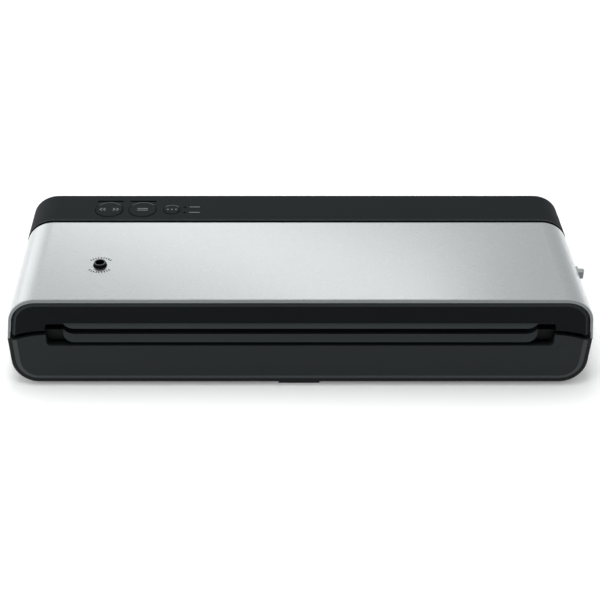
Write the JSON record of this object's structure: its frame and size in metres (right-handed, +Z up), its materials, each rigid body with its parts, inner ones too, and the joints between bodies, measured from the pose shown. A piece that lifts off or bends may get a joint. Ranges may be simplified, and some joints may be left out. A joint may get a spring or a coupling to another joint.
{
  "type": "vacuum sealer",
  "caption": "Counter-top vacuum sealer: hinged silver lid over a front bag slot, fixed control strip with push buttons behind, latch knob on the side, suction pump inside.",
  "frame": {"origin": "on the table under the middle of the body", "axes": "+X to the right along the long side, +Y to the back, +Z up"},
  "size_m": [0.4084, 0.1412, 0.0774],
  "materials": {
    "silver_cover": "fine satin grain",
    "dark_shell": "fine textured charcoal",
    "inner_plastic": "plain black moulding",
    "tray_plastic": "dark grey liner",
    "port_plastic": "black, half gloss",
    "button_plastic": "charcoal",
    "knob_plastic": "mid grey",
    "hook_plastic": "glass-filled nylon",
    "lamp_smoke": "smoked, unlit",
    "foam": "closed-cell foam",
    "silicone": "silicone",
    "rubber": "moulded rubber",
    "hose_rubber": "milky silicone tube",
    "seal_insulator": "heat-proof bar",
    "heater_alloy": "nickel-chrome ribbon",
    "release_tape": "brown release tape",
    "steel": "bright zinc",
    "motor_steel": "zinc-plated can",
    "pump_plastic": "glass-filled",
    "board": "green laminate",
    "switch_plastic": "black",
    "plunger_plastic": "red",
    "core_iron": "laminated",
    "copper_coil": "wound and taped",
    "capacitor_sleeve": "sleeved can"
  },
  "bodies": {
    "base": {"base_housing": "dark_shell", "base_pan": "dark_shell", "base_fascia": "dark_shell", "control_housing": "dark_shell", "deck": "inner_plastic", "vacuum_trough": "inner_plastic", "bag_ledge": "dark_shell", "bag_guides": "dark_shell", "drip_tray": "tray_plastic", "lower_gasket": "foam", "seal_bar": "seal_insulator", "heater_ribbon": "heater_alloy", "release_tape": "release_tape", "hinge_posts": "steel", "lid_switch": "switch_plastic", "lamp_windows": "lamp_smoke", "control_board": "board", "tact_switches": "switch_plastic", "indicator_lamps": "lamp_smoke", "power_board": "board", "transformer_core": "core_iron", "transformer_coil": "copper_coil", "capacitors": "capacitor_sleeve", "board_screws": "steel", "pump_motor": "motor_steel", "motor_cradle": "inner_plastic", "pump_case": "pump_plastic", "pump_cylinder": "pump_plastic", "pump_head": "pump_plastic", "suction_hose": "hose_rubber", "rubber_feet": "rubber", "front_foot": "dark_shell", "mains_gland": "rubber", "base_screws": "steel"},
    "lid": {"lid_cover": "silver_cover", "lid_fascia": "dark_shell", "lid_tray": "inner_plastic", "upper_gasket": "foam", "pressure_strip": "silicone", "accessory_port": "port_plastic", "hinge_pins": "steel", "lid_screws": "steel"},
    "latch": {"latch_shaft": "steel", "latch_hooks": "hook_plastic", "latch_knob": "knob_plastic"},
    "vacuum_button": {"vacuum_button": "button_plastic"},
    "seal_button": {"seal_button": "button_plastic"},
    "mode_button": {"mode_button": "button_plastic"},
    "switch_plunger": {"switch_plunger": "plunger_plastic"},
    "pump_rotor": {"pump_rotor": "steel"},
    "pump_piston": {"pump_piston": "pump_plastic"}
  },
  "joints": [
    {"name": "lid_hinge", "type": "hinge", "parent": "base", "child": "lid", "pos_m": [0, 0.0277, 0.0699], "axis": [-1, 0, 0], "range_deg": [0, 75]},
    {"name": "latch_turn", "type": "hinge", "parent": "lid", "child": "latch", "pos_m": [0, -0.012, 0.0576], "axis": [1, 0, 0], "range_deg": [0, 35]},
    {"name": "vacuum_press", "type": "slide", "parent": "base", "child": "vacuum_button", "axis": [0, 0, -1], "range_m": [0, 0.0008], "stiffness_N_per_m": 300, "springref_m": -0.001},
    {"name": "seal_press", "type": "slide", "parent": "base", "child": "seal_button", "axis": [0, 0, -1], "range_m": [0, 0.0008], "stiffness_N_per_m": 300, "springref_m": -0.001},
    {"name": "mode_press", "type": "slide", "parent": "base", "child": "mode_button", "axis": [0, 0, -1], "range_m": [0, 0.0008], "stiffness_N_per_m": 300, "springref_m": -0.001},
    {"name": "plunger_press", "type": "slide", "parent": "base", "child": "switch_plunger", "axis": [0, 1, 0], "range_m": [0, 0.001], "stiffness_N_per_m": 150, "springref_m": -0.001},
    {"name": "pump_spin", "type": "hinge", "parent": "base", "child": "pump_rotor", "pos_m": [0.09, 0.0515, 0.025], "axis": [1, 0, 0], "continuous": true},
    {"name": "piston_stroke", "type": "slide", "parent": "base", "child": "pump_piston", "axis": [0, 0, 1], "range_m": [0, 0.004]}
  ]
}
